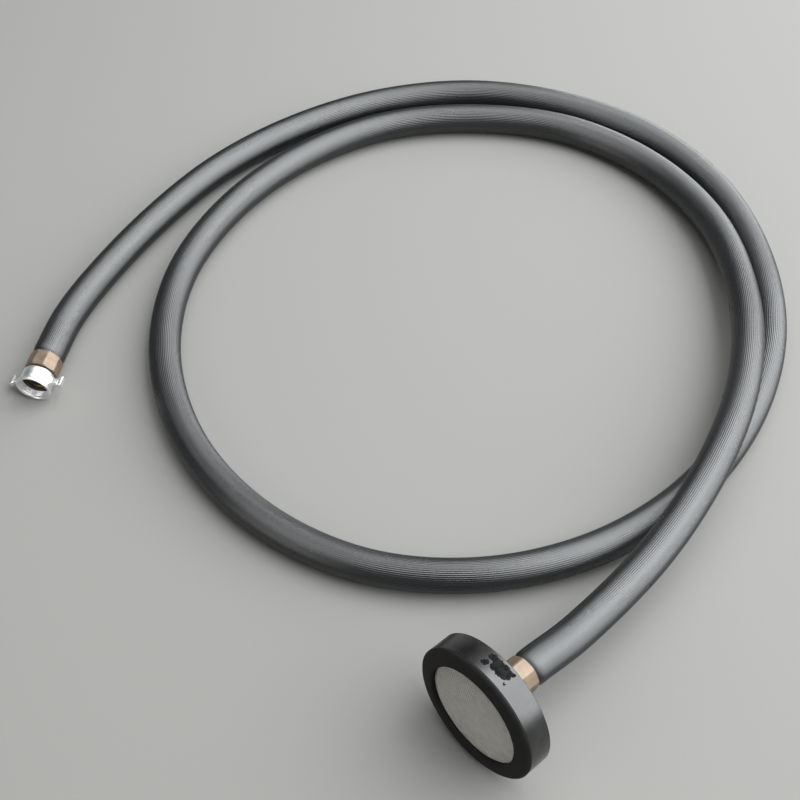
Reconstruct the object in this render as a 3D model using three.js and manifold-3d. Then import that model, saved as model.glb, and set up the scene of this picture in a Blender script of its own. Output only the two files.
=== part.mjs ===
// Strainer foot valve on its suction hose, lying on level ground.
// Millimetres, +Z up. The valve's mesh faces -Y, its outlet and hose leave towards +Y.
// Each turned piece is drawn along its own axis, which is local +Y and points to the hose.
import * as THREE from "three";
import { mergeVertices } from "three/addons/utils/BufferGeometryUtils.js";
import Module from "manifold-3d";

const wasm = await Module();
wasm.setup();

// ---- driving dimensions -------------------------------------------------------------------
const HOSE_OD = 34;
const HOSE_BORE = 25.8;
const RIM_R = 64.4; // outside of the drum and its front ring
const RIM_BACK = 23.7; // back face of the drum, behind its front edge
const WALL = 3.5;
const GAP = 0.3; // between pieces that touch
const SIDES = 40; // facets round the drum
const SMALL_SIDES = 24; // facets round a fitting

const MESH_R = 48.4; // clear radius of the strainer
const CLAMP_R = 56.6; // outer edge of the strainer pack
const SKIRT_R = 60.6; // the front ring's skirt inside the drum
const CHAMBER_R = 17.4; // valve chamber
const BOSS_R = 23;
const BOSS_END = 36.5;
const THREAD_R = 18; // outlet tail in the boss
const PORT_R = 10.8; // opening of the valve seat
const STEM_R = 2.5;
const TAIL_BORE = 9.5;
const BARB_R = 12.1;

const FERRULE_LENGTH = 19;
const FERRULE_FLAT = 16.4; // axis to each of the eight crimped flats
const FERRULE_EDGE = 17.4; // axis to the rounded edges between the flats
const CUFF_R = 14.8; // hose squeezed inside a ferrule
const VALVE_FERRULE = 42.4; // start of the ferrule behind the drum's front edge
const NUT_LENGTH = 20.5;
const NUT_RIM_R = 18.6;
const NUT_BODY_R = 16.9;
const NUT_BORE = 15.4;
const EAR_TIP = 31;
const EAR_ANGLE = THREE.MathUtils.degToRad(-13);
const COUPLING_FERRULE = 21.8; // start of the ferrule behind the nut's mouth

const VALVE_TILT = THREE.MathUtils.degToRad(8); // the drum leans back on its rear edge
const VALVE_Y = -34.5; // front edge's centre, so that the valve's box is centred on the origin
const COUPLING_MOUTH = [-568.6, -126.9, 18.9];
const COUPLING_HEADING = Math.atan2(0.6, 0.8);
const COUPLING_TILT = THREE.MathUtils.degToRad(1.2);

// The hose's centreline from the valve's ferrule to the coupling's, without its two ends.
const HOSE_ROUTE = [
  [0, 38.2, 56.7],
  [2, 92, 49.3],
  [-5, 205, 49.5],
  [-32, 317, 52],
  [-79, 421, 47],
  [-151, 512, 36],
  [-249, 579, 27],
  [-359, 601, 19.5],
  [-469, 575, 17.2],
  [-559, 505, 17],
  [-624, 411, 17],
  [-651, 299, 17],
  [-641, 185, 17],
  [-595, 80, 17],
  [-513, 1, 17],
  [-405, -42, 17],
  [-291, -41, 17],
  [-184, 2, 17],
  [-102, 82, 17],
  [-51, 184, 17],
  [-35, 297, 17],
  [-55, 410, 17],
  [-108, 511, 17],
  [-188, 586, 17],
  [-288, 633, 17],
  [-400, 638, 17],
  [-507, 599, 17],
  [-596, 530, 17],
  [-660, 434, 17],
  [-694, 327, 17],
  [-702, 215, 17],
  [-684, 108, 17],
  [-650, 3, 17],
  [-626, -48, 17.2],
  [-600.5, -84.4, 17.8],
];
const HOSE_STEPS = 46;
const HOSE_SIDES = 10;

// ---- materials ----------------------------------------------------------------------------
const finish = (color, roughness, metalness) =>
  new THREE.MeshStandardMaterial({ color, roughness, metalness });

const blackRubber = finish(0x2b2a29, 0.85, 0);
const softRubber = finish(0x1d1c1b, 0.9, 0);
const glossBlack = finish(0x17181a, 0.3, 0);
const stainless = finish(0xa09e94, 0.4, 0.9);
const ferruleGold = finish(0xc9a37c, 0.45, 0.7);
const brass = finish(0xb79a5a, 0.4, 0.9);
const nutMetal = finish(0xd8d8d6, 0.3, 0.9);

// ---- solids -------------------------------------------------------------------------------
function mesh(name, geometry, material) {
  const made = new THREE.Mesh(geometry, material);
  made.name = name;
  return made;
}

// A turned piece: profile points are [radius, distance along the axis], anticlockwise.
function turned(profile, sides) {
  const points = profile.map(([r, y]) => new THREE.Vector2(r, y));
  return new THREE.LatheGeometry(points, sides);
}

// A flat ring or sleeve between two radii and two distances along the axis.
function sleeve(inner, outer, from, to, sides = SMALL_SIDES) {
  return turned([[inner, from], [outer, from], [outer, to], [inner, to], [inner, from]], sides);
}

function toSolid(geometry) {
  const bare = geometry.clone();
  bare.deleteAttribute("normal");
  bare.deleteAttribute("uv");
  const merged = mergeVertices(bare, 1e-3);
  return new wasm.Manifold(
    new wasm.Mesh({
      numProp: 3,
      vertProperties: new Float32Array(merged.attributes.position.array),
      triVerts: new Uint32Array(merged.index.array),
    }),
  );
}

function toGeometry(solid) {
  const data = solid.getMesh();
  const geometry = new THREE.BufferGeometry();
  geometry.setAttribute("position", new THREE.BufferAttribute(data.vertProperties, 3));
  geometry.setIndex(new THREE.BufferAttribute(data.triVerts, 1));
  geometry.computeVertexNormals();
  return geometry;
}

// A prism along the local axis with a regular outline; flat is the distance to each flat.
function prism(corners, flat, from, to) {
  const radius = flat / Math.cos(Math.PI / corners);
  const geometry = new THREE.CylinderGeometry(radius, radius, to - from, corners);
  geometry.rotateY(Math.PI / corners);
  geometry.translate(0, (from + to) / 2, 0);
  return geometry;
}

// An outline drawn in the plane across the axis, with its front face at the distance from.
function plate(shape, from, thickness) {
  const geometry = new THREE.ExtrudeGeometry(shape, {
    depth: thickness,
    bevelEnabled: false,
    curveSegments: 4,
  });
  geometry.rotateX(-Math.PI / 2);
  geometry.translate(0, from, 0);
  return geometry;
}

// A window between two radii that leaves straight bars of one width on both sides.
function sectorHole(inner, outer, middle, half, bar) {
  const turn = (radius) => half - bar / 2 / radius;
  const path = new THREE.Path();
  path.absarc(0, 0, outer, middle - turn(outer), middle + turn(outer), false);
  path.absarc(0, 0, inner, middle + turn(inner), middle - turn(inner), true);
  path.closePath();
  return path;
}

// ---- strainer pack at the front of the drum -------------------------------------------------
function frontRing() {
  const lip = -4;
  return turned(
    [
      [MESH_R, lip + 1.2],
      [MESH_R + 1, lip],
      [MESH_R + 3.4, lip],
      [RIM_R - 2.6, lip + 2.2],
      [RIM_R - 0.7, lip + 3],
      [RIM_R, lip + 4],
      [RIM_R, 1],
      [SKIRT_R, 1],
      [SKIRT_R, 5],
      [CLAMP_R + GAP, 5],
      [CLAMP_R + GAP, 0.2],
      [MESH_R, 0.2],
      [MESH_R, lip + 1.2],
    ],
    SIDES,
  );
}

function strainerMesh() {
  const edge = CLAMP_R - 2.3;
  return turned([[0, -1], [28, -0.6], [edge, 0.5], [edge, 1.2], [28, 0.1], [0, -0.3]], SIDES);
}

function meshSupport() {
  const disc = new THREE.Shape();
  disc.absarc(0, 0, CLAMP_R, 0, 2 * Math.PI, false);
  for (const [inner, outer, count] of [[7, 25, 6], [28, MESH_R - 1, 10]]) {
    const half = Math.PI / count;
    for (let i = 0; i < count; i++)
      disc.holes.push(sectorHole(inner, outer, 2 * i * half, half, 3));
  }
  return plate(disc, 1.9, 1.4);
}

// ---- drum with its valve chamber and outlet boss --------------------------------------------
function valveBody() {
  const shelf = 5.3;
  const inside = RIM_BACK - WALL;
  return turned(
    [
      [RIM_R, 1 + GAP],
      [RIM_R, RIM_BACK - 1],
      [RIM_R - 1, RIM_BACK],
      [BOSS_R + 3, RIM_BACK],
      [BOSS_R, RIM_BACK + 3],
      [BOSS_R, BOSS_END - 0.8],
      [BOSS_R - 0.8, BOSS_END],
      [THREAD_R + GAP, BOSS_END],
      [THREAD_R + GAP, 27.7],
      [CHAMBER_R, 27.7],
      [CHAMBER_R, 9.8],
      [12.5, 9.8],
      [12.5, 7],
      [CHAMBER_R + WALL, 7],
      [CHAMBER_R + WALL, inside],
      [RIM_R - WALL - 0.4, inside],
      [RIM_R - WALL - 0.4, shelf + 2.2],
      [50.5, shelf + 2.2],
      [50.5, shelf],
      [SKIRT_R + GAP, shelf],
      [SKIRT_R + GAP, 1 + GAP],
      [RIM_R, 1 + GAP],
    ],
    SIDES,
  );
}

// ---- check valve inside the chamber ---------------------------------------------------------
function valveSeat() {
  const top = 13.4;
  return turned(
    [
      [PORT_R, 7],
      [12.2, 7],
      [12.2, 10.9],
      [CHAMBER_R - GAP, 10.9],
      [CHAMBER_R - GAP, 12.2],
      [13.2, 12.2],
      [12.4, top],
      [PORT_R + 0.6, top],
      [PORT_R, top - 0.6],
      [PORT_R, 7],
    ],
    SMALL_SIDES,
  );
}

function valveStem() {
  return turned(
    [
      [0, 7.4],
      [STEM_R - 0.4, 7.4],
      [STEM_R, 7.8],
      [STEM_R, 35.6],
      [STEM_R - 0.5, 36.1],
      [0, 36.1],
    ],
    24,
  );
}

function valveDisc() {
  const bore = STEM_R + GAP;
  return turned(
    [
      [bore, 15.8],
      [13.4, 15.8],
      [14.3, 16.4],
      [14.3, 17.4],
      [13.8, 17.9],
      [6, 17.9],
      [5.4, 20.4],
      [bore, 20.4],
      [bore, 15.8],
    ],
    SMALL_SIDES,
  );
}

function stemNut() {
  const hexagon = toSolid(prism(6, 4, 8.6, 11.7));
  const hole = toSolid(sleeve(0, STEM_R + GAP, 8, 12.4, 24));
  return toGeometry(hexagon.subtract(hole));
}

class Helix extends THREE.Curve {
  constructor(radius, turns, from, to) {
    super();
    Object.assign(this, { radius, turns, from, to });
  }
  getPoint(t, target = new THREE.Vector3()) {
    const angle = 2 * Math.PI * this.turns * t;
    const y = THREE.MathUtils.lerp(this.from, this.to, t);
    return target.set(this.radius * Math.cos(angle), y, this.radius * Math.sin(angle));
  }
}

function roundSection(radius, sides, bore = 0) {
  const ring = (r) =>
    Array.from({ length: sides }, (_, i) => {
      const angle = (2 * Math.PI * i) / sides;
      return new THREE.Vector2(r * Math.cos(angle), r * Math.sin(angle));
    });
  const shape = new THREE.Shape(ring(radius));
  if (bore) shape.holes.push(new THREE.Path(ring(bore)));
  return shape;
}

function valveSpring() {
  const wire = 0.6;
  const path = new Helix(8.2, 4, 17.9 + GAP + wire, 27.9 - GAP - wire);
  return new THREE.ExtrudeGeometry(roundSection(wire, 5), { steps: 48, extrudePath: path });
}

// A spider: three arms carry the bush that the stem slides in.
function stemGuide() {
  const outer = THREAD_R - GAP;
  const web = new THREE.Shape();
  web.absarc(0, 0, outer, 0, 2 * Math.PI, false);
  const third = Math.PI / 3;
  for (let i = 0; i < 3; i++) web.holes.push(sectorHole(5.6, 14.6, 2 * i * third, third, 3.2));
  const bush = toSolid(sleeve(1, 4.6, 27.9, 34, 24));
  const bore = toSolid(sleeve(0, STEM_R + GAP, 26, 36, 24));
  return toGeometry(toSolid(plate(web, 27.9, 2.2)).add(bush).subtract(bore));
}

// ---- hose fittings --------------------------------------------------------------------------
// The barbed end of a fitting that starts at the distance from and reaches into the hose.
function barbs(from) {
  const points = [];
  for (let i = 0; i < 3; i++) {
    const start = from + 6 + 7 * i;
    points.push([BARB_R - 1, start], [BARB_R, start + 1], [BARB_R, start + 2], [BARB_R - 1, start + 6]);
  }
  return points;
}

function outletTail() {
  const collar = BOSS_END + GAP * 2 + 1.2;
  const end = VALVE_FERRULE + 37;
  const body = toSolid(
    turned(
      [
        [TAIL_BORE + 2, 30.4],
        [THREAD_R - 0.6, 30.4],
        [THREAD_R, 31],
        [THREAD_R, collar + 1],
        [BARB_R, collar + 1],
        ...barbs(VALVE_FERRULE),
        [BARB_R - 1.6, end],
        [TAIL_BORE, end],
        [TAIL_BORE, 33],
        [TAIL_BORE + 2, 30.4],
      ],
      SMALL_SIDES,
    ),
  );
  const hexagon = toSolid(prism(6, 19.5, collar, VALVE_FERRULE - GAP));
  const bore = toSolid(sleeve(0, TAIL_BORE + 1, collar - 1, VALVE_FERRULE + 1));
  return toGeometry(body.add(hexagon.subtract(bore)));
}

// A sleeve crimped to eight flats, closed round the tail at its fitting end.
function ferrule(from) {
  const to = from + FERRULE_LENGTH;
  const flats = toSolid(prism(8, FERRULE_FLAT, from, to));
  const edges = toSolid(
    turned(
      [
        [0, from],
        [FERRULE_EDGE - 0.6, from],
        [FERRULE_EDGE, from + 0.8],
        [FERRULE_EDGE, to - 0.8],
        [FERRULE_EDGE - 0.6, to],
        [0, to],
      ],
      SMALL_SIDES,
    ),
  );
  const tailHole = toSolid(sleeve(0, BARB_R + GAP, from - 1, to + 1));
  const hoseHole = toSolid(sleeve(0, CUFF_R + GAP, from + 1.6, to + 1));
  return toGeometry(flats.intersect(edges).subtract(tailHole).subtract(hoseHole));
}

function couplingTail() {
  const head = 11.2;
  const end = COUPLING_FERRULE + 37;
  return turned(
    [
      [TAIL_BORE + 1, head],
      [NUT_BORE - 0.8, head],
      [NUT_BORE - 0.8, head + 3.2],
      [BARB_R, head + 3.2],
      ...barbs(COUPLING_FERRULE),
      [BARB_R - 1.6, end],
      [TAIL_BORE, end],
      [TAIL_BORE, head + 1],
      [TAIL_BORE + 1, head],
    ],
    SMALL_SIDES,
  );
}

// One ear of the nut: a web that flares into a flat end plate.
function ear(turn) {
  const outline = new THREE.Shape(
    [
      [15.9, 6],
      [21, 7.9],
      [26, 7.6],
      [27.2, 5.4],
      [EAR_TIP, 5.4],
      [EAR_TIP, 16.4],
      [27.2, 16.4],
      [26, 14.2],
      [21, 13.9],
      [15.9, 15.8],
    ].map(([r, y]) => new THREE.Vector2(r, y)),
  );
  const thickness = 5;
  const geometry = new THREE.ExtrudeGeometry(outline, { depth: thickness, bevelEnabled: false });
  geometry.translate(0, 0, -thickness / 2);
  geometry.rotateY(turn);
  return geometry;
}

function unionNut() {
  const floor = 15;
  const body = toSolid(
    turned(
      [
        [NUT_BORE + 0.9, 0],
        [NUT_RIM_R - 0.5, 0],
        [NUT_RIM_R, 0.6],
        [NUT_RIM_R, 3],
        [NUT_BODY_R, 4],
        [NUT_BODY_R, NUT_LENGTH - 2.4],
        [NUT_BODY_R - 1.6, NUT_LENGTH],
        [BARB_R + 0.8, NUT_LENGTH],
        [BARB_R + 0.8, floor],
        [NUT_BORE, floor],
        [NUT_BORE, 1.2],
        [NUT_BORE + 0.9, 0],
      ],
      SIDES,
    ),
  );
  return toGeometry(body.add(toSolid(ear(0))).add(toSolid(ear(Math.PI))));
}

// ---- assembly -------------------------------------------------------------------------------
const foot = new THREE.Group();
foot.rotation.x = -VALVE_TILT;
foot.position.set(
  0,
  VALVE_Y,
  RIM_R * Math.cos(VALVE_TILT) + (RIM_BACK - 1) * Math.sin(VALVE_TILT),
);
foot.add(
  mesh("front_ring", frontRing(), blackRubber),
  mesh("strainer_mesh", strainerMesh(), stainless),
  mesh("mesh_rim", sleeve(CLAMP_R - 2, CLAMP_R, 0.5, 1.6, SIDES), stainless),
  mesh("mesh_support", meshSupport(), stainless),
  mesh("strainer_gasket", sleeve(50.5, CLAMP_R, 3.6, 5, SIDES), softRubber),
  mesh("valve_body", valveBody(), glossBlack),
  mesh("seat_gasket", sleeve(12.5, CHAMBER_R - 0.6, 10.1, 10.6), softRubber),
  mesh("valve_seat", valveSeat(), brass),
  mesh("valve_facing", sleeve(STEM_R + GAP, 13.9, 13.7, 15.5), softRubber),
  mesh("valve_disc", valveDisc(), brass),
  mesh("valve_stem", valveStem(), stainless),
  mesh("facing_washer", sleeve(STEM_R + GAP, 7, 12, 13.4, 24), stainless),
  mesh("stem_nut", stemNut(), stainless),
  mesh("valve_spring", valveSpring(), stainless),
  mesh("stem_guide", stemGuide(), brass),
  mesh("outlet_gasket", sleeve(THREAD_R + GAP, 22, BOSS_END + GAP, BOSS_END + GAP + 1.2), softRubber),
  mesh("outlet_tail", outletTail(), brass),
  mesh("valve_ferrule", ferrule(VALVE_FERRULE), ferruleGold),
);

const nut = mesh("union_nut", unionNut(), nutMetal);
nut.rotation.y = EAR_ANGLE;
const coupling = new THREE.Group();
coupling.rotation.set(-COUPLING_TILT, 0, COUPLING_HEADING, "ZXY");
coupling.position.set(...COUPLING_MOUTH);
coupling.add(
  nut,
  mesh("coupling_gasket", sleeve(TAIL_BORE + 0.8, NUT_BORE - 0.8, 8.6, 10.9), softRubber),
  mesh("coupling_tail", couplingTail(), brass),
  mesh("coupling_ferrule", ferrule(COUPLING_FERRULE), ferruleGold),
);

// The hose's end squeezed inside a ferrule, as a solid in the part's own frame.
function cuff(group, ferruleStart) {
  group.updateMatrixWorld(true);
  const mouth = ferruleStart + FERRULE_LENGTH;
  const geometry = sleeve(HOSE_BORE / 2 + 0.1, CUFF_R, ferruleStart + 2, mouth + 3);
  return toSolid(geometry.applyMatrix4(group.matrixWorld));
}

function hose() {
  const leave = (group, ferruleStart) =>
    group.localToWorld(new THREE.Vector3(0, ferruleStart + FERRULE_LENGTH + GAP, 0));
  const path = new THREE.CatmullRomCurve3([
    leave(foot, VALVE_FERRULE),
    ...HOSE_ROUTE.map((point) => new THREE.Vector3(...point)),
    leave(coupling, COUPLING_FERRULE),
  ]);
  const section = roundSection(HOSE_OD / 2, HOSE_SIDES, HOSE_BORE / 2);
  const tube = new THREE.ExtrudeGeometry(section, { steps: HOSE_STEPS, extrudePath: path });
  const ends = cuff(foot, VALVE_FERRULE).add(cuff(coupling, COUPLING_FERRULE));
  return toGeometry(toSolid(tube).add(ends));
}

foot.updateMatrixWorld(true);
coupling.updateMatrixWorld(true);
const assembly = new THREE.Group();
assembly.add(foot, coupling, mesh("suction_hose", hose(), blackRubber));

export default assembly;
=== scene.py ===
"""Strainer foot valve on its suction hose: the looks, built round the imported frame. Metres, +Z up."""

import math

import bmesh
import bpy
from mathutils import Matrix, Vector, noise


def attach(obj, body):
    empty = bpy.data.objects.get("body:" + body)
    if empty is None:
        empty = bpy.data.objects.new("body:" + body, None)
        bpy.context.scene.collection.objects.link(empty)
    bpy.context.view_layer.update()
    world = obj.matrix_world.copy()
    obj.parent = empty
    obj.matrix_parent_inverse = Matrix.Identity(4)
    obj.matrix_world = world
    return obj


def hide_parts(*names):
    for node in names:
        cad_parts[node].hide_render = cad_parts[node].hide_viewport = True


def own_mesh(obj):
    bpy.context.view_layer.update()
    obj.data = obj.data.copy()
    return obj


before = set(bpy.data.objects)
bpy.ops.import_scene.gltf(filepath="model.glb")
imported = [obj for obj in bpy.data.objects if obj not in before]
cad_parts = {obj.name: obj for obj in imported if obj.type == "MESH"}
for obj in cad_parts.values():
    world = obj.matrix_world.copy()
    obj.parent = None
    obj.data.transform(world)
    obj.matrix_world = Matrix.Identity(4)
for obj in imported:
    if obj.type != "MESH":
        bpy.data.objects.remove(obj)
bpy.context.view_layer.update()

MM = 0.001

# Sizes shared with the CAD part, in millimetres.
HOSE_OD = 34.0
RIM_R = 64.4
RIM_BACK = 23.7
GAP = 0.3
WALL = 3.5
MESH_R = 48.4
CLAMP_R = 56.6
SKIRT_R = 60.6
CHAMBER_R = 17.4
BOSS_R = 23.0
BOSS_END = 36.5
THREAD_R = 18.0
TAIL_BORE = 9.5
BARB_R = 12.1
FERRULE_LENGTH = 19.0
FERRULE_FLAT = 16.4
FERRULE_EDGE = 17.4
CUFF_R = 14.8
VALVE_FERRULE = 42.4
COUPLING_FERRULE = 21.8
NUT_LENGTH = 20.5
NUT_RIM_R = 18.6
NUT_BODY_R = 16.9
NUT_BORE = 15.4
EAR_TIP = 31.0
EAR_ANGLE = math.radians(-13)

VALVE_TILT = math.radians(8)
VALVE_Y = -34.5
COUPLING_MOUTH = (-568.6, -126.9, 18.9)
COUPLING_HEADING = math.atan2(0.6, 0.8)
COUPLING_TILT = math.radians(1.2)

# The hose's centreline, from the valve's ferrule to the coupling's, in metres.
HOSE_ROUTE = [
    (0, 0.0382, 0.0567),
    (0.002, 0.092, 0.0493),
    (-0.005, 0.205, 0.0495),
    (-0.032, 0.317, 0.052),
    (-0.079, 0.421, 0.047),
    (-0.151, 0.512, 0.036),
    (-0.249, 0.579, 0.027),
    (-0.359, 0.601, 0.0195),
    (-0.469, 0.575, 0.0172),
    (-0.559, 0.505, 0.017),
    (-0.624, 0.411, 0.017),
    (-0.651, 0.299, 0.017),
    (-0.641, 0.185, 0.017),
    (-0.595, 0.08, 0.017),
    (-0.513, 0.001, 0.017),
    (-0.405, -0.042, 0.017),
    (-0.291, -0.041, 0.017),
    (-0.184, 0.002, 0.017),
    (-0.102, 0.082, 0.017),
    (-0.051, 0.184, 0.017),
    (-0.035, 0.297, 0.017),
    (-0.055, 0.41, 0.017),
    (-0.108, 0.511, 0.017),
    (-0.188, 0.586, 0.017),
    (-0.288, 0.633, 0.017),
    (-0.4, 0.638, 0.017),
    (-0.507, 0.599, 0.017),
    (-0.596, 0.53, 0.017),
    (-0.66, 0.434, 0.017),
    (-0.694, 0.327, 0.017),
    (-0.702, 0.215, 0.017),
    (-0.684, 0.108, 0.017),
    (-0.65, 0.003, 0.017),
    (-0.626, -0.048, 0.0172),
    (-0.6005, -0.0844, 0.0178),
]

ROOT = "foot_valve"


def valve_frame():
    """The valve's own axis as +Y, from the middle of the drum's front edge towards the hose."""
    height = RIM_R * math.cos(VALVE_TILT) + (RIM_BACK - 1) * math.sin(VALVE_TILT)
    place = Matrix.Translation((0, VALVE_Y * MM, height * MM))
    return place @ Matrix.Rotation(-VALVE_TILT, 4, "X")


def coupling_frame():
    """The coupling's axis as +Y, from the middle of the nut's mouth towards the hose."""
    place = Matrix.Translation(Vector(COUPLING_MOUTH) * MM)
    turn = Matrix.Rotation(COUPLING_HEADING, 4, "Z") @ Matrix.Rotation(-COUPLING_TILT, 4, "X")
    return place @ turn


VALVE = valve_frame()
COUPLING = coupling_frame()


# ---- camera -------------------------------------------------------------------------------
AIM = Vector((-0.315, 0.160, 0.0))
CAMERA_DISTANCE = 1.267
CAMERA_ELEVATION = math.radians(55.5)
CAMERA_AZIMUTH = math.radians(48.6)
FOCAL_MM = 54.0
SENSOR_MM = 36.0


def add_camera():
    level = math.cos(CAMERA_ELEVATION) * CAMERA_DISTANCE
    back = Vector((math.sin(CAMERA_AZIMUTH), -math.cos(CAMERA_AZIMUTH), 0)) * level
    data = bpy.data.cameras.new("camera")
    data.lens = FOCAL_MM
    data.sensor_width = SENSOR_MM
    camera = bpy.data.objects.new("camera", data)
    camera.location = AIM + back + Vector((0, 0, math.sin(CAMERA_ELEVATION) * CAMERA_DISTANCE))
    camera.rotation_euler = (AIM - camera.location).to_track_quat("-Z", "Y").to_euler()
    bpy.context.scene.collection.objects.link(camera)
    bpy.context.scene.camera = camera


# ---- mesh helpers -------------------------------------------------------------------------
def new_object(name, verts, faces):
    mesh = bpy.data.meshes.new(name)
    mesh.from_pydata([tuple(v) for v in verts], [], faces)
    mesh.validate()
    mesh.shade_smooth()
    made = bpy.data.objects.new(name, mesh)
    bpy.context.scene.collection.objects.link(made)
    return made


def rounded(points, steps=5):
    """A closed profile of (radius, distance along the axis, fillet), its corners rounded off."""
    out = []
    for i, (r, y, fillet) in enumerate(points):
        here = Vector((r, y))
        before = Vector(points[i - 1][:2]) - here
        after = Vector(points[(i + 1) % len(points)][:2]) - here
        if fillet <= 0 or before.length < 1e-6 or after.length < 1e-6:
            out.append((r, y))
            continue
        half = before.angle(after) / 2
        cut = min(fillet / math.tan(half), before.length * 0.49, after.length * 0.49)
        start = here + before.normalized() * cut
        end = here + after.normalized() * cut
        for k in range(steps + 1):
            t = k / steps
            point = start.lerp(here, t).lerp(here.lerp(end, t), t)
            out.append((point.x, point.y))
    return out


def grid_faces(rows, columns):
    """Quads over a grid that closes on itself both ways, facing out for an anticlockwise profile."""
    faces = []
    for i in range(rows):
        below = i * columns
        above = ((i + 1) % rows) * columns
        for j in range(columns):
            k = (j + 1) % columns
            faces.append((below + j, below + k, above + k, above + j))
    return faces


def turned(name, profile, frame_matrix, columns=192, wave=None):
    """A closed profile turned about local +Y. wave(row, angle) changes the radius."""
    verts = []
    for row, (r, y) in enumerate(profile):
        for j in range(columns):
            angle = 2 * math.pi * j / columns
            radius = r + (wave(row, angle) if wave else 0)
            local = Vector((radius * math.sin(angle), y, radius * math.cos(angle)))
            verts.append(frame_matrix @ (local * MM))
    return new_object(name, verts, grid_faces(len(profile), columns))


def sharpen(piece, degrees):
    """Keeps edges between faces at more than this angle crisp."""
    bm = bmesh.new()
    bm.from_mesh(piece.data)
    limit = math.radians(degrees)
    for edge in bm.edges:
        if len(edge.link_faces) == 2 and edge.calc_face_angle() > limit:
            edge.smooth = False
    bm.to_mesh(piece.data)
    bm.free()


def finish_piece(piece, body, slot_name, material, *nodes):
    """Gives the piece its look, the body that it rides on and the CAD nodes that it stands for."""
    piece.data.materials.clear()
    piece.data.materials.append(material)
    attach(piece, body)
    if nodes:
        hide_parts(*nodes)


# ---- material helpers ---------------------------------------------------------------------
MIX_INPUTS = (0, 6, 7)  # factor, A and B of a Mix node that mixes colours
MIX_RESULT = 2


class Shader:
    """A Principled material with short calls for the nodes that feed it."""

    def __init__(self, name, color, roughness, metallic=0.0, specular=0.5, ior=1.5):
        self.material = bpy.data.materials.new(name)
        self.material.use_nodes = True
        self.tree = self.material.node_tree
        self.bsdf = self.tree.nodes["Principled BSDF"]
        self.set("Base Color", (*color, 1.0))
        self.set("Roughness", roughness)
        self.set("Metallic", metallic)
        self.set("Specular IOR Level", specular)
        self.set("IOR", ior)

    def set(self, socket, value):
        self.bsdf.inputs[socket].default_value = value

    def node(self, kind, **inputs):
        made = self.tree.nodes.new(kind)
        for key, value in inputs.items():
            made.inputs[key.replace("_", " ")].default_value = value
        return made

    def link(self, source, target):
        self.tree.links.new(source, target)

    def feed(self, source, socket):
        self.link(source, self.bsdf.inputs[socket])

    def place(self):
        return self.node("ShaderNodeTexCoord").outputs["Object"]

    def stretched(self, source, scale):
        mapping = self.node("ShaderNodeMapping")
        mapping.inputs["Scale"].default_value = scale
        self.link(source, mapping.inputs["Vector"])
        return mapping.outputs["Vector"]

    def noise(self, source, scale, detail=4.0, roughness=0.55):
        made = self.node("ShaderNodeTexNoise", Scale=scale, Detail=detail, Roughness=roughness)
        self.link(source, made.inputs["Vector"])
        return made.outputs["Fac"]

    def ramp(self, source, *stops):
        """stops are (position, value) or (position, (r, g, b))."""
        made = self.node("ShaderNodeValToRGB")
        elements = made.color_ramp.elements
        while len(elements) < len(stops):
            elements.new(0.5)
        for element, (position, value) in zip(elements, stops):
            element.position = position
            rgb = value if hasattr(value, "__len__") else (value, value, value)
            element.color = (*rgb, 1.0)
        self.link(source, made.inputs["Fac"])
        return made.outputs["Color"]

    def mix(self, factor, first, second):
        """Colour first where the socket factor is 0, second where it is 1; each a socket or a colour."""
        made = self.node("ShaderNodeMix")
        made.data_type = "RGBA"
        for index, value in zip(MIX_INPUTS, (factor, first, second)):
            if isinstance(value, bpy.types.NodeSocket):
                self.link(value, made.inputs[index])
            else:
                made.inputs[index].default_value = (*value, 1.0)
        return made.outputs[MIX_RESULT]

    def bump(self, height, strength, depth):
        made = self.node("ShaderNodeBump", Strength=strength, Distance=depth)
        self.link(height, made.inputs["Height"])
        self.feed(made.outputs["Normal"], "Normal")


def hose_rubber():
    """Ribbed rubber whose bloom, streaks and scuffs are drawn out along the hose."""
    shader = Shader("hose_rubber", (0.02, 0.021, 0.023), 0.28, specular=0.5, ior=1.65)
    along = shader.node("ShaderNodeAttribute")
    along.attribute_name = "hose_place"
    place = along.outputs["Vector"]
    bloom = shader.noise(shader.stretched(place, (30, 30, 5)), 1.0, 5)
    streaks = shader.noise(shader.stretched(place, (420, 420, 14)), 1.0, 4)
    base = shader.ramp(bloom, (0.3, (0.003, 0.0032, 0.0036)), (0.7, (0.007, 0.0073, 0.008)))
    dusty = shader.ramp(streaks, (0.45, 0.0), (0.75, 0.3))
    color = shader.mix(dusty, base, (0.02, 0.02, 0.021))
    scuff = shader.noise(shader.stretched(place, (110, 110, 28)), 1.0, 6, 0.65)
    marks = shader.ramp(scuff, (0.70, 0.0), (0.78, 0.55))
    shader.feed(shader.mix(marks, color, (0.12, 0.12, 0.115)), "Base Color")
    shader.feed(shader.ramp(bloom, (0.3, 0.24), (0.7, 0.31)), "Roughness")
    shader.bump(shader.noise(place, 1400.0, 3), 0.35, 0.0002)
    return shader.material


def matte_black():
    """The dull moulded ring round the mesh, with a little dust."""
    shader = Shader("matte_black", (0.022, 0.021, 0.020), 0.7, specular=0.2)
    place = shader.place()
    cloud = shader.noise(place, 45.0, 5)
    base = shader.ramp(cloud, (0.35, (0.005, 0.0047, 0.0044)), (0.7, (0.011, 0.0102, 0.0095)))
    dust = shader.ramp(shader.noise(place, 260.0, 6, 0.7), (0.60, 0.0), (0.75, 0.25))
    shader.feed(shader.mix(dust, base, (0.035, 0.032, 0.028)), "Base Color")
    shader.feed(shader.ramp(cloud, (0.3, 0.62), (0.7, 0.78)), "Roughness")
    shader.bump(shader.noise(place, 2200.0, 3), 0.3, 0.0002)
    return shader.material


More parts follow.
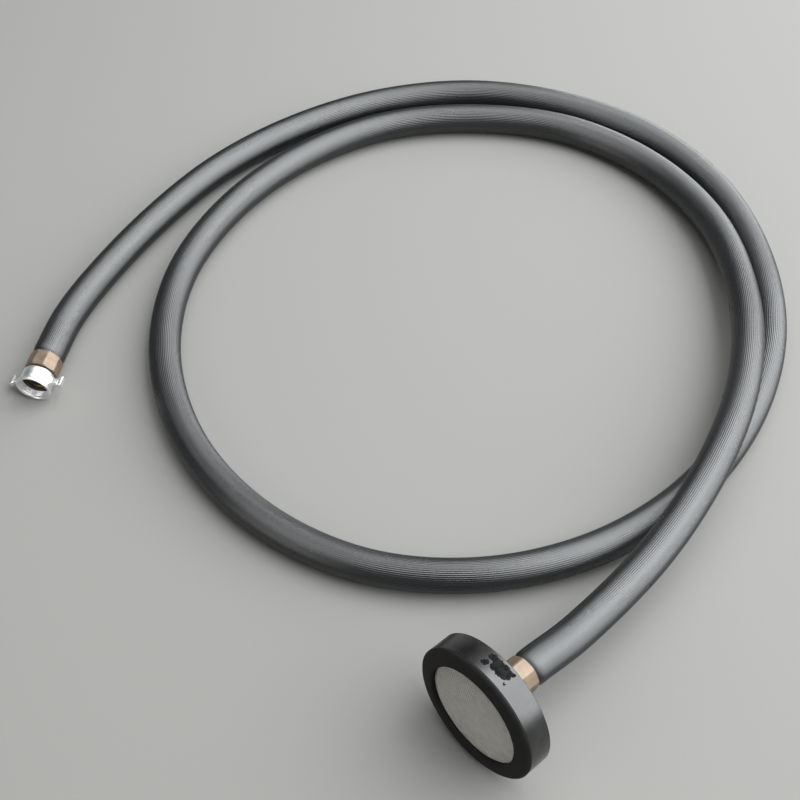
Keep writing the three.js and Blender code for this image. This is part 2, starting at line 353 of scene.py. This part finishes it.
def gloss_black():
    """The painted drum, with patches of grime."""
    shader = Shader("gloss_black", (0.012, 0.012, 0.013), 0.28, specular=0.45, ior=1.6)
    place = shader.place()
    cloud = shader.noise(place, 38.0, 5)
    grime = shader.ramp(shader.noise(place, 90.0, 7, 0.7), (0.52, 0.0), (0.72, 0.4))
    base = shader.ramp(cloud, (0.35, (0.003, 0.003, 0.0035)), (0.7, (0.009, 0.008, 0.0075)))
    color = shader.mix(grime, base, (0.03, 0.026, 0.021))
    shader.feed(color, "Base Color")
    shader.feed(shader.ramp(cloud, (0.3, 0.24), (0.7, 0.36)), "Roughness")
    shader.bump(shader.noise(place, 700.0, 4), 0.12, 0.0003)
    return shader.material


def ferrule_gold():
    """Yellow passivated steel, stained in places."""
    shader = Shader("ferrule_gold", (0.16, 0.12, 0.09), 0.5, metallic=0.6)
    place = shader.place()
    cloud = shader.noise(place, 120.0, 5)
    base = shader.ramp(cloud, (0.3, (0.112, 0.08, 0.056)), (0.7, (0.188, 0.14, 0.1)))
    stain = shader.ramp(shader.noise(place, 420.0, 6, 0.7), (0.60, 0.0), (0.75, 0.5))
    shader.feed(shader.mix(stain, base, (0.06, 0.038, 0.023)), "Base Color")
    shader.feed(shader.ramp(cloud, (0.3, 0.36), (0.7, 0.52)), "Roughness")
    shader.bump(shader.noise(place, 1500.0, 3), 0.2, 0.0002)
    return shader.material


def plain_metal(name, dark, light, roughness, grain=900.0, strength=0.12):
    """Bare metal, clouded between a dark and a light tone, with a fine grain."""
    shader = Shader(name, light, roughness, metallic=1.0)
    place = shader.place()
    cloud = shader.noise(place, 150.0, 5)
    shader.feed(shader.ramp(cloud, (0.3, dark), (0.7, light)), "Base Color")
    shader.feed(shader.ramp(cloud, (0.3, roughness - 0.06), (0.7, roughness + 0.08)), "Roughness")
    shader.bump(shader.noise(place, grain, 4), strength, 0.0002)
    return shader.material


def dull_residue():
    """A dry, near-black film."""
    shader = Shader("dull_residue", (0.004, 0.004, 0.004), 0.8, specular=0.06)
    place = shader.place()
    cloud = shader.noise(place, 300.0, 5)
    base = shader.ramp(cloud, (0.4, (0.003, 0.003, 0.003)), (0.7, (0.012, 0.012, 0.012)))
    shader.feed(base, "Base Color")
    shader.bump(shader.noise(place, 500.0, 4), 0.4, 0.0003)
    return shader.material


def soft_rubber():
    """The dark brown rubber of the seals."""
    shader = Shader("soft_rubber", (0.03, 0.022, 0.018), 0.75)
    place = shader.place()
    cloud = shader.noise(place, 200.0, 4)
    base = shader.ramp(cloud, (0.3, (0.03, 0.021, 0.015)), (0.7, (0.06, 0.043, 0.033)))
    shader.feed(base, "Base Color")
    shader.bump(shader.noise(place, 2500.0, 3), 0.25, 0.0001)
    return shader.material


# ---- hose ---------------------------------------------------------------------------------
RIBS = 56
SAMPLES_PER_RIB = 4
RIB_DEPTH = 0.42
RING_STEP = 0.0086
CURVE_STEPS = 40  # between two points of the route, before the even steps
TWIST_PER_METRE = 0.5
NECK_LENGTH = 0.007  # over which the squeezed end widens to the full hose
NECK_STEPS = (0.0015, 0.003, 0.0055)
TUCK = 0.0018  # how far each end reaches into its ferrule


def hose_points():
    """The route with its two ends at the ferrules, as the CAD part has it."""
    start = VALVE @ Vector((0, (VALVE_FERRULE + FERRULE_LENGTH + GAP) * MM, 0))
    end = COUPLING @ Vector((0, (COUPLING_FERRULE + FERRULE_LENGTH + GAP) * MM, 0))
    return [start, *(Vector(p) for p in HOSE_ROUTE), end]


def catmull_rom(points, steps):
    """A centripetal Catmull-Rom curve through the points."""
    padded = [2 * points[0] - points[1], *points, 2 * points[-1] - points[-2]]
    curve = []
    for i in range(len(points) - 1):
        p0, p1, p2, p3 = padded[i : i + 4]
        d0, d1, d2 = ((b - a).length ** 0.5 for a, b in ((p0, p1), (p1, p2), (p2, p3)))
        m1 = ((p1 - p0) / d0 - (p2 - p0) / (d0 + d1) + (p2 - p1) / d1) * d1
        m2 = ((p2 - p1) / d1 - (p3 - p1) / (d1 + d2) + (p3 - p2) / d2) * d1
        for k in range(steps):
            t = k / steps
            a = 2 * t**3 - 3 * t**2 + 1
            b = t**3 - 2 * t**2 + t
            c = 3 * t**2 - 2 * t**3
            d = t**3 - t**2
            curve.append(a * p1 + b * m1 + c * p2 + d * m2)
    return [*curve, points[-1]]


def even_steps(curve, step):
    """Points at even distances along a dense polyline."""
    lengths = [0.0]
    for a, b in zip(curve, curve[1:]):
        lengths.append(lengths[-1] + (b - a).length)
    count = round(lengths[-1] / step)
    out = []
    k = 0
    for i in range(count + 1):
        want = lengths[-1] * i / count
        while k < len(curve) - 2 and lengths[k + 1] < want:
            k += 1
        share = (want - lengths[k]) / max(lengths[k + 1] - lengths[k], 1e-9)
        out.append(curve[k].lerp(curve[k + 1], min(share, 1)))
    return out


def neck(distance):
    """The hose's radius in millimetres at a distance in metres from a ferrule's mouth."""
    share = min(max(distance / NECK_LENGTH, 0), 1)
    return CUFF_R + (HOSE_OD / 2 - CUFF_R) * share * (2 - share) if share < 1 else HOSE_OD / 2


def hose_centres():
    """Even steps along the route, with closer ones at both ends, which reach into the ferrules."""
    centres = even_steps(catmull_rom(hose_points(), CURVE_STEPS), RING_STEP)
    first = (centres[1] - centres[0]).normalized()
    last = (centres[-1] - centres[-2]).normalized()
    head = [centres[0] + first * d for d in (-TUCK, 0, *NECK_STEPS)]
    tail = [centres[-1] - last * d for d in (-TUCK, 0, *NECK_STEPS)]
    return [*head, *centres[1:-1], *reversed(tail)]


def ring_axis(centres, i):
    """The hose's direction at one of its centres."""
    ahead = centres[min(i + 1, len(centres) - 1)]
    behind = centres[max(i - 1, 0)]
    return (ahead - behind).normalized()


def make_hose(material):
    centres = hose_centres()
    length = sum((b - a).length for a, b in zip(centres, centres[1:]))
    columns = RIBS * SAMPLES_PER_RIB
    side = Vector((1, 0, 0))
    flat = HOSE_OD / 2 * MM
    verts, place = [], []
    travelled = 0.0
    for i, centre in enumerate(centres):
        travelled += (centre - centres[max(i - 1, 0)]).length
        axis = ring_axis(centres, i)
        side = (side - axis * side.dot(axis)).normalized()
        other = axis.cross(side)
        radius = neck(min(travelled, length - travelled) - TUCK)
        for j in range(columns):
            angle = 2 * math.pi * j / columns
            turn = angle + TWIST_PER_METRE * travelled
            dip = RIB_DEPTH * (0.5 - 0.5 * math.cos(angle * RIBS))
            direction = side * math.cos(turn) + other * math.sin(turn)
            verts.append(centre + direction * ((radius - dip) * MM))
            place.append((flat * math.cos(angle), flat * math.sin(angle), travelled))
    rows = len(centres)
    faces = grid_faces(rows, columns)[: (rows - 1) * columns]
    faces.append(tuple(range(columns))[::-1])
    faces.append(tuple((rows - 1) * columns + j for j in range(columns)))
    hose = new_object("suction_hose_ribbed", verts, [f[::-1] for f in faces])
    attribute = hose.data.attributes.new("hose_place", "FLOAT_VECTOR", "POINT")
    attribute.data.foreach_set("vector", [c for p in place for c in p])
    finish_piece(hose, ROOT, "hose_rubber", material, "suction_hose")
    return hose, centres


# ---- foot valve ---------------------------------------------------------------------------
def make_front_ring(material):
    lip = -4.0
    profile = rounded(
        [
            (MESH_R, lip + 0.6, 0.5),
            (MESH_R + 1.2, lip, 0.6),
            (MESH_R + 3.6, lip, 1.4),
            (RIM_R - 2.2, lip + 2.0, 1.6),
            (RIM_R, lip + 4.0, 0.8),
            (RIM_R, 1.0, 0.3),
            (SKIRT_R, 1.0, 0),
            (SKIRT_R, 5.0, 0.3),
            (CLAMP_R + GAP, 5.0, 0.3),
            (CLAMP_R + GAP, 0.2, 0),
            (MESH_R, 0.2, 0.2),
        ]
    )
    ring = turned("front_ring_soft", profile, VALVE, 256)
    finish_piece(ring, ROOT, "matte_black", material, "front_ring")


def make_body(material):
    inside = RIM_BACK - WALL
    chamber_wall = CHAMBER_R + WALL
    drum_bore = RIM_R - WALL - 0.4
    shelf = 5.3
    profile = rounded(
        [
            (RIM_R, 1 + GAP, 0.25),
            (RIM_R, RIM_BACK - 0.5, 1.4),
            (RIM_R - 0.8, RIM_BACK, 0.4),
            (BOSS_R + 2, RIM_BACK, 2.5),
            (BOSS_R, RIM_BACK + 2.5, 2.5),
            (BOSS_R, BOSS_END, 0.8),
            (THREAD_R + GAP, BOSS_END, 0.3),
            (THREAD_R + GAP, 27.7, 0),
            (CHAMBER_R, 27.7, 0),
            (CHAMBER_R, 9.8, 0),
            (12.5, 9.8, 0),
            (12.5, 7.0, 0.3),
            (chamber_wall, 7.0, 0.5),
            (chamber_wall, inside, 1.0),
            (drum_bore, inside, 1.5),
            (drum_bore, shelf + 2.2, 0),
            (50.5, shelf + 2.2, 0.3),
            (50.5, shelf, 0.3),
            (SKIRT_R + GAP, shelf, 0),
            (SKIRT_R + GAP, 1 + GAP, 0.2),
        ]
    )
    body = turned("valve_drum", profile, VALVE, 256)
    sharpen(body, 50)
    finish_piece(body, ROOT, "gloss_black", material, "valve_body")


PATCH_STEP = 0.8
PATCH_COLUMNS = 39  # round the rim
PATCH_ROWS = 19  # along the axis
PATCH_MIDDLE = 14  # behind the drum's front edge
PATCH_SHIFT = 2  # round the rim from its top
FILM = 0.12


def torn_away(row, column):
    """Whether a cell of the patch is missing: a rounded rectangle with noise on its outline."""
    across = (column - PATCH_COLUMNS / 2) / (PATCH_COLUMNS / 2)
    up = (row - PATCH_ROWS / 2) / (PATCH_ROWS / 2)
    broad = noise.noise(Vector((column, row, 4.2)) * 0.17)
    fine = noise.noise(Vector((column, row, 9.1)) * 0.5)
    return max(abs(across), abs(up)) ** 2 + 0.9 * (broad + 0.15 * fine) >= 0.66


def delete_loose(piece):
    """Deletes the vertices that no face uses."""
    bm = bmesh.new()
    bm.from_mesh(piece.data)
    loose = [v for v in bm.verts if not v.link_faces]
    bmesh.ops.delete(bm, geom=loose, context="VERTS")
    bm.to_mesh(piece.data)
    bm.free()


def make_residue(material):
    """A torn patch of black residue on top of the rim: a thin film with a ragged outline."""
    verts, faces = [], []
    for i in range(PATCH_ROWS):
        along = PATCH_MIDDLE + (i - PATCH_ROWS // 2) * PATCH_STEP
        for j in range(PATCH_COLUMNS):
            angle = ((j - PATCH_COLUMNS // 2) * PATCH_STEP - PATCH_SHIFT) / RIM_R
            local = Vector((RIM_R * math.sin(angle), along, RIM_R * math.cos(angle)))
            verts.append(VALVE @ (local * MM))
    for i in range(PATCH_ROWS - 1):
        for j in range(PATCH_COLUMNS - 1):
            if not torn_away(i, j):
                k = i * PATCH_COLUMNS + j
                faces.append((k, k + 1, k + PATCH_COLUMNS + 1, k + PATCH_COLUMNS))
    film = new_object("rim_residue", verts, faces)
    delete_loose(film)
    solid = film.modifiers.new("film", "SOLIDIFY")
    solid.thickness = FILM * MM
    solid.offset = 1
    finish_piece(film, ROOT, "matte_black", material)


WIRE_PITCH = 1.9
WIRE_R = 0.36
WIRE_SIDES = 4
WEAVE_R = 52.5
WEAVE_DEPTH = 0.75  # behind the drum's front edge, at the cloth's rim
WEAVE_DOME = 0.9


def wire_ring(run, offset, phase, across):
    """One section of a wire. The wires that lie across run up the mesh, and the others run level."""
    x, z = (offset, run) if across else (run, offset)
    dome = WEAVE_DOME * (1 - (x * x + z * z) / WEAVE_R**2)
    middle = WEAVE_DEPTH - dome + WIRE_R * 0.95 * math.cos(phase)
    ring = []
    for s in range(WIRE_SIDES):
        angle = 2 * math.pi * (s + 0.5) / WIRE_SIDES
        out = WIRE_R * math.cos(angle)
        dx, dz = (out, 0) if across else (0, out)
        local = Vector((x + dx, middle + WIRE_R * math.sin(angle), z + dz))
        ring.append(VALVE @ (local * MM))
    return ring


def wire_faces(start, rings, across):
    """Joins one wire's sections into a closed tube."""
    faces = []
    for k in range(rings - 1):
        for s in range(WIRE_SIDES):
            a = start + k * WIRE_SIDES + s
            b = start + k * WIRE_SIDES + (s + 1) % WIRE_SIDES
            faces.append((a, b, b + WIRE_SIDES, a + WIRE_SIDES))
    tip = start + (rings - 1) * WIRE_SIDES
    faces.append(tuple(start + s for s in reversed(range(WIRE_SIDES))))
    faces.append(tuple(tip + s for s in range(WIRE_SIDES)))
    return faces if across else [face[::-1] for face in faces]


def make_weave(material):
    """Plain-woven wire cloth, slightly domed outwards."""
    count = int(WEAVE_R // WIRE_PITCH)
    verts, faces = [], []
    for across in (False, True):
        for n in range(-count, count + 1):
            offset = n * WIRE_PITCH
            crossings = int(math.sqrt(max(WEAVE_R**2 - offset**2, 0)) // WIRE_PITCH)
            if crossings < 1:
                continue
            start = len(verts)
            samples = [k * 0.5 for k in range(-2 * crossings, 2 * crossings + 1)]
            for step in samples:
                phase = math.pi * (step + n + across)
                verts += wire_ring(step * WIRE_PITCH, offset, phase, across)
            faces += wire_faces(start, len(samples), across)
    weave = new_object("strainer_weave", verts, faces)
    finish_piece(weave, ROOT, "stainless_mesh", material, "strainer_mesh")


SPRING_R = 8.2
SPRING_WIRE = 0.6
SPRING_FROM = 18.2
SPRING_TO = 27.6
SPRING_TURNS = 4


def make_spring(material):
    """The closing spring, built at rest; it shortens towards the stem guide as the disc lifts, but
    nothing here shortens it.
    """
    steps = 48 * SPRING_TURNS
    sides = 10
    coiled = SPRING_TO - SPRING_FROM - 2 * SPRING_WIRE
    verts = []
    for i in range(steps + 1):
        share = i / steps
        turn = 2 * math.pi * SPRING_TURNS * share
        along = SPRING_FROM + SPRING_WIRE + coiled * share
        for k in range(sides):
            angle = 2 * math.pi * k / sides
            r = SPRING_R + SPRING_WIRE * math.cos(angle)
            y = along + SPRING_WIRE * math.sin(angle)
            verts.append(VALVE @ (Vector((r * math.sin(turn), y, r * math.cos(turn))) * MM))
    faces = [face[::-1] for face in grid_faces(steps + 1, sides)[: steps * sides]]
    faces += [tuple(range(sides)), tuple(range(steps * sides, (steps + 1) * sides))[::-1]]
    spring = new_object("closing_spring", verts, faces)
    finish_piece(spring, ROOT, "stainless", material, "valve_spring")
    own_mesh(spring)


# ---- ferrules and tails -------------------------------------------------------------------
def flat_radius(angle, flat, edge):
    """Distance from the axis to an eight-sided outline with rounded edges."""
    eighth = math.pi / 4
    near = (angle + eighth / 2) % eighth - eighth / 2
    return min(flat / math.cos(near), edge)


def make_ferrule(name, node, frame_matrix, start, material):
    """A sleeve crimped to eight flats. Each ring has a radius, a distance and its share of the flats."""
    end = start + FERRULE_LENGTH
    flat, edge = FERRULE_FLAT, FERRULE_EDGE
    rings = [
        (flat - 1.0, start, 0),
        (flat - 0.3, start + 0.15, 0.6),
        (flat, start + 0.7, 0.9),
        (flat, start + 1.6, 1),
        (flat, end - 1.6, 1),
        (flat, end - 0.7, 0.9),
        (flat - 0.25, end - 0.15, 0.6),
        (flat - 0.8, end, 0.3),
        (CUFF_R + GAP, end, 0),
        (CUFF_R + GAP, start + 1.6, 0),
        (BARB_R + GAP, start + 1.6, 0),
        (BARB_R + GAP, start, 0),
    ]
    shape = [share for _, _, share in rings]

    def wave(row, angle):
        return shape[row] * (flat_radius(angle, flat, edge) - flat)

    piece = turned(name, [(r, y) for r, y, _ in rings], frame_matrix, 320, wave)
    sharpen(piece, 40)
    finish_piece(piece, ROOT, "ferrule_gold", material, node)
    return piece


def barbs(start):
    """Three barbs along a tail that the hose covers from the distance start."""
    points = []
    for i in range(3):
        at = start + 6 + 7 * i
        points += [(BARB_R - 1, at, 0), (BARB_R, at + 1, 0.2)]
        points += [(BARB_R, at + 2, 0.2), (BARB_R - 1, at + 6, 0)]
    return points


def make_coupling_tail(material):
    head = 11.2
    end = COUPLING_FERRULE + 37
    profile = rounded(
        [
            (TAIL_BORE, head + 1, 0.3),
            (TAIL_BORE + 1, head, 0.2),
            (NUT_BORE - 0.8, head, 0.3),
            (NUT_BORE - 0.8, head + 3.2, 0.3),
            (BARB_R, head + 3.2, 0.3),
            *barbs(COUPLING_FERRULE),
            (BARB_R - 1.6, end, 0.3),
            (TAIL_BORE, end, 0.3),
        ]
    )
    tail = turned("coupling_tail_turned", profile, COUPLING, 128)
    sharpen(tail, 50)
    finish_piece(tail, ROOT, "brass", material, "coupling_tail")
    return tail


def make_gasket(material):
    inner = TAIL_BORE + 0.8
    outer = NUT_BORE - 0.8
    front = 8.6
    back = 10.9
    profile = rounded([(inner, front, 0.4), (outer, front, 0.4), (outer, back, 0.4), (inner, back, 0.4)])
    gasket = turned("coupling_seal", profile, COUPLING, 96)
    finish_piece(gasket, ROOT, "soft_rubber", material, "coupling_gasket")
    return gasket


# ---- winged union nut ---------------------------------------------------------------------
SOCKET_FLOOR = 15.0
BORE_FROM = 1.2
BORE_TO = 14.7
BORE_STEPS = 54
THREAD_PITCH = 2.31
THREAD_FROM = 1.6
THREAD_TO = 13.2
THREAD_RUNOUT = 1.5
THREAD_ROOT = 0.9  # cut into the wall of the bore
THREAD_HEIGHT = 1.5
VOXEL = 0.0003


def nut_profile():
    """The nut's section, with many short steps down the threaded bore, and where those start."""
    outside = rounded(
        [
            (NUT_BORE + 1.0, 0.0, 0.4),
            (NUT_RIM_R, 0.0, 0.8),
            (NUT_RIM_R, 3.2, 0.8),
            (NUT_BODY_R, 4.4, 1.0),
            (NUT_BODY_R, NUT_LENGTH - 2.2, 1.2),
            (NUT_BODY_R - 1.7, NUT_LENGTH, 0.7),
            (BARB_R + 0.8, NUT_LENGTH, 0.4),
            (BARB_R + 0.8, SOCKET_FLOOR, 0.3),
            (NUT_BORE, SOCKET_FLOOR, 0.3),
        ]
    )
    depth = BORE_TO - BORE_FROM
    bore = [(NUT_BORE, BORE_TO - depth * k / BORE_STEPS) for k in range(BORE_STEPS + 1)]
    return outside + bore, len(outside)


def thread_wave(profile, first):
    """How a thread that runs out at both ends changes the bore's radius."""

    def wave(row, angle):
        if row < first:
            return 0
        depth = profile[row][1]
        start = min(max((depth - THREAD_FROM) / THREAD_RUNOUT, 0), 1)
        end = min(max((THREAD_TO - depth) / THREAD_RUNOUT, 0), 1)
        phase = (depth / THREAD_PITCH + angle / (2 * math.pi)) % 1
        ridge = 1 - abs(2 * phase - 1)
        return start * end * (THREAD_ROOT - THREAD_HEIGHT * ridge)

    return wave


def fuse(piece):
    """Makes one soft-edged casting of the piece's overlapping bodies."""
    remesh = piece.modifiers.new("remesh", "REMESH")
    remesh.mode = "VOXEL"
    remesh.voxel_size = VOXEL
    remesh.use_smooth_shade = True
    smooth = piece.modifiers.new("smooth", "SMOOTH")
    smooth.factor = 0.5
    smooth.iterations = 8
    evaluated = piece.evaluated_get(bpy.context.evaluated_depsgraph_get())
    final = bpy.data.meshes.new_from_object(evaluated)
    piece.modifiers.clear()
    piece.data = final


def make_nut(material):
    profile, first = nut_profile()
    wave = thread_wave(profile, first)
    nut = turned("union_nut_cast", profile, Matrix.Identity(4), 160, wave)
    bm = bmesh.new()
    bm.from_mesh(nut.data)
    for turn in (0, math.pi):
        add_ear(bm, turn)
    bm.to_mesh(nut.data)
    bm.free()
    fuse(nut)
    nut.data.transform(COUPLING @ Matrix.Rotation(EAR_ANGLE, 4, "Y"))
    nut.data.shade_smooth()
    finish_piece(nut, "nut", "nut_metal", material, "union_nut")
    return nut


def add_ear(bm, turn):
    """One ear: a web, rooted in the nut's wall, that flares into a flat end plate.

    Each section has its radius, where it starts and ends along the axis, and half its thickness.
    """
    sections = [
        (16.35, 5.9, 16.0, 3.4),
        (17.0, 6.2, 15.6, 3.2),
        (19.5, 7.4, 14.4, 2.5),
        (23.0, 8.0, 13.8, 2.2),
        (25.6, 7.6, 14.2, 2.3),
        (26.9, 6.0, 15.8, 2.5),
        (27.8, 5.3, 16.5, 2.7),
        (29.4, 5.3, 16.5, 2.7),
        (EAR_TIP, 5.7, 16.1, 2.4),
    ]
    spin = Matrix.Rotation(turn, 4, "Y")
    rings = []
    for r, low, high, half in sections:
        corners = [(low, -half), (high, -half), (high, half), (low, half)]
        rings.append([bm.verts.new(spin @ (Vector((r, y, z)) * MM)) for y, z in corners])
    bm.faces.new(rings[0])
    bm.faces.new(rings[-1][::-1])
    for a, b in zip(rings, rings[1:]):
        for k in range(4):
            m = (k + 1) % 4
            bm.faces.new((a[k], b[k], b[m], a[m]))


# ---- stage --------------------------------------------------------------------------------
FLOOR_SIZE = 14
FLOOR_DROP = 0.0002  # below the lowest point of the object


def add_floor():
    bpy.ops.mesh.primitive_plane_add(size=FLOOR_SIZE, location=(-0.3, 0.2, -FLOOR_DROP))
    floor = bpy.context.active_object
    floor.name = "floor"
    shader = Shader("floor", (0.168, 0.165, 0.156), 0.9, specular=0.1)
    floor.data.materials.append(shader.material)


def add_light(name, location, aim, size, power, color):
    data = bpy.data.lights.new(name, "AREA")
    data.shape = "SQUARE"
    data.size = size
    data.energy = power
    data.color = color
    lamp = bpy.data.objects.new(name, data)
    lamp.location = location
    lamp.rotation_euler = (Vector(aim) - Vector(location)).to_track_quat("-Z", "Y").to_euler()
    bpy.context.scene.collection.objects.link(lamp)


def add_lights():
    sky = (0.95, 0.98, 1.0)
    add_light("sky", (1.0, 1.9, 2.1), (-0.25, 0.3, 0), 4.2, 400, sky)
    add_light("sky_above", (-0.75, 0.55, 2.6), (-0.35, 0.3, 0), 2.2, 62, sky)
    add_light("sky_behind", (-1.2, 2.9, 1.0), (-0.3, 0.3, 0), 1.9, 60, sky)
    add_light("fill", (-0.5, -1.9, 1.5), (0, 0, 0), 1.2, 14, (1.0, 0.98, 0.95))
    world = bpy.data.worlds.new("world")
    world.use_nodes = True
    back = world.node_tree.nodes["Background"]
    back.inputs["Color"].default_value = (0.95, 0.97, 1.0, 1)
    back.inputs["Strength"].default_value = 0.14
    bpy.context.scene.world = world
    bpy.context.scene.view_settings.view_transform = "Standard"


# ---- the whole object ---------------------------------------------------------------------
def paint_inner_nodes(steel, yellow, rubber):
    """The pieces kept from the CAD part, inside the valve or behind the drum."""
    finishes = {
        steel: ["mesh_rim", "mesh_support", "valve_stem", "facing_washer", "stem_nut"],
        yellow: ["valve_seat", "valve_disc", "stem_guide", "outlet_tail"],
        rubber: ["strainer_gasket", "seat_gasket", "valve_facing", "outlet_gasket"],
    }
    for material, names in finishes.items():
        for name in names:
            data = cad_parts[name].data
            data.materials.clear()
            data.materials.append(material)


def build():
    add_camera()
    rubber = soft_rubber()
    steel = plain_metal("stainless", (0.16, 0.155, 0.145), (0.26, 0.255, 0.24), 0.4)
    wire = plain_metal("stainless_mesh", (0.62, 0.60, 0.56), (0.76, 0.735, 0.69), 0.5)
    yellow = plain_metal("brass", (0.16, 0.11, 0.055), (0.28, 0.20, 0.10), 0.5)
    bright = plain_metal("nut_metal", (0.84, 0.84, 0.83), (0.93, 0.93, 0.92), 0.36, 500.0, 0.04)
    gold = ferrule_gold()
    paint_inner_nodes(steel, yellow, rubber)

    hose, path = make_hose(hose_rubber())
    make_front_ring(matte_black())
    make_residue(dull_residue())
    make_body(gloss_black())
    make_weave(wire)
    make_spring(steel)
    make_ferrule("valve_ferrule_crimped", "valve_ferrule", VALVE, VALVE_FERRULE, gold)
    on_hose = [
        make_ferrule("coupling_ferrule_crimped", "coupling_ferrule", COUPLING, COUPLING_FERRULE, gold),
        make_coupling_tail(yellow),
        make_gasket(rubber),
        make_nut(bright),
    ]
    add_floor()
    add_lights()


build()
